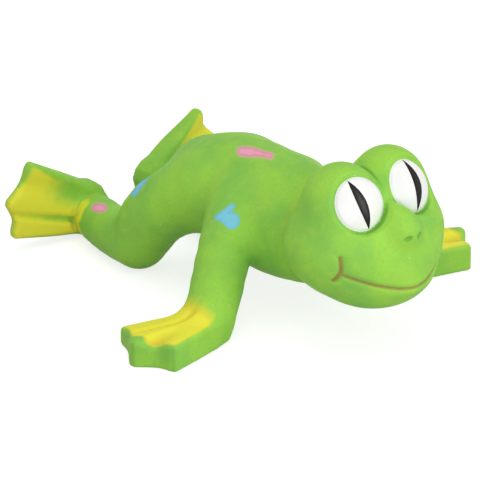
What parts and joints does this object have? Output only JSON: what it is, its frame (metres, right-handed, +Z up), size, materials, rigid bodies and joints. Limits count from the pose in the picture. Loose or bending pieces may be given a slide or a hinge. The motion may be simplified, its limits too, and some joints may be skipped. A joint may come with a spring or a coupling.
{
  "type": "latex dog toy",
  "caption": "Stuffed latex frog, a squeaky chew toy for a dog, resting on webbed hands and knees, with limbs that bend and spring back.",
  "frame": {"origin": "middle of the toy's footprint, on the floor", "axes": "+Z up, -Y the way the frog looks, +X the frog's left"},
  "size_m": [0.1776, 0.1968, 0.083],
  "materials": {
    "green_latex": "matte lime-green latex with faint mottling",
    "yellow_latex": "matte latex, yellow airbrush over green",
    "eye_white": "satin white paint on latex",
    "pupil_black": "satin black paint on latex",
    "fibre": "loose white polyester fibre",
    "squeaker_plastic": "plain white moulded plastic",
    "reed_plastic": "thin clear-grey plastic"
  },
  "bodies": {
    "torso": {"torso_skin": "green_latex", "torso_filling": "fibre", "squeaker_cup": "squeaker_plastic", "reed_block": "squeaker_plastic", "reed_clip": "squeaker_plastic"},
    "reed": {"reed": "reed_plastic"},
    "head": {"head_skin": "green_latex", "head_filling": "fibre", "right_eye_white": "eye_white", "right_pupil": "pupil_black", "left_eye_white": "eye_white", "left_pupil": "pupil_black"},
    "right_front_leg": {"right_front_leg_skin": "green_latex", "right_front_leg_filling": "fibre"},
    "right_thigh": {"right_thigh_skin": "green_latex", "right_thigh_filling": "fibre"},
    "right_shank": {"right_shank_skin": "green_latex", "right_shank_filling": "fibre"},
    "right_hand": {"right_hand": "yellow_latex"},
    "right_hind_foot": {"right_hind_foot": "yellow_latex"},
    "left_front_leg": {"left_front_leg_skin": "green_latex", "left_front_leg_filling": "fibre"},
    "left_thigh": {"left_thigh_skin": "green_latex", "left_thigh_filling": "fibre"},
    "left_shank": {"left_shank_skin": "green_latex", "left_shank_filling": "fibre"},
    "left_hand": {"left_hand": "yellow_latex"},
    "left_hind_foot": {"left_hind_foot": "yellow_latex"}
  },
  "joints": [
    {"name": "neck_nod", "type": "hinge", "parent": "torso", "child": "head", "pos_m": [0, -0.036, 0.043], "axis": [1, 0, 0], "range_deg": [-10, 12], "stiffness_Nm_per_rad": 2},
    {"name": "right_shoulder_swing", "type": "hinge", "parent": "torso", "child": "right_front_leg", "pos_m": [-0.019, -0.009, 0.0415], "axis": [1, 0, 0], "range_deg": [-14, 14], "stiffness_Nm_per_rad": 2},
    {"name": "right_wrist_bend", "type": "hinge", "parent": "right_front_leg", "child": "right_hand", "pos_m": [-0.046, -0.025, 0.0095], "axis": [0, 1, 0], "range_deg": [0, 24], "stiffness_Nm_per_rad": 0.8},
    {"name": "right_hip_swing", "type": "hinge", "parent": "torso", "child": "right_thigh", "pos_m": [-0.0135, 0.03, 0.038], "axis": [1, 0, 0], "range_deg": [-8, 8], "stiffness_Nm_per_rad": 2},
    {"name": "right_knee_bend", "type": "hinge", "parent": "right_thigh", "child": "right_shank", "pos_m": [-0.024, 0.049, 0.0125], "axis": [1, 0, 0], "range_deg": [0, 18], "stiffness_Nm_per_rad": 1},
    {"name": "right_ankle_bend", "type": "hinge", "parent": "right_shank", "child": "right_hind_foot", "pos_m": [-0.017, 0.089, 0.0113], "axis": [0.2726, -0.0407, 0.9613], "range_deg": [-18, 18], "stiffness_Nm_per_rad": 0.5},
    {"name": "left_shoulder_swing", "type": "hinge", "parent": "torso", "child": "left_front_leg", "pos_m": [0.019, -0.009, 0.0415], "axis": [1, 0, 0], "range_deg": [-14, 14], "stiffness_Nm_per_rad": 2},
    {"name": "left_wrist_bend", "type": "hinge", "parent": "left_front_leg", "child": "left_hand", "pos_m": [0.046, -0.025, 0.0095], "axis": [0, -1, 0], "range_deg": [0, 24], "stiffness_Nm_per_rad": 0.8},
    {"name": "left_hip_swing", "type": "hinge", "parent": "torso", "child": "left_thigh", "pos_m": [0.0135, 0.03, 0.038], "axis": [1, 0, 0], "range_deg": [-8, 8], "stiffness_Nm_per_rad": 2},
    {"name": "left_knee_bend", "type": "hinge", "parent": "left_thigh", "child": "left_shank", "pos_m": [0.024, 0.049, 0.0125], "axis": [1, 0, 0], "range_deg": [0, 18], "stiffness_Nm_per_rad": 1},
    {"name": "left_ankle_bend", "type": "hinge", "parent": "left_shank", "child": "left_hind_foot", "pos_m": [0.017, 0.089, 0.0113], "axis": [0.2726, 0.0407, -0.9613], "range_deg": [-18, 18], "stiffness_Nm_per_rad": 0.5},
    {"name": "reed_flutter", "type": "hinge", "parent": "torso", "child": "reed", "pos_m": [0, -0.0195, 0.0242], "axis": [1, 0, 0], "range_deg": [0, 5], "stiffness_Nm_per_rad": 0.001}
  ]
}
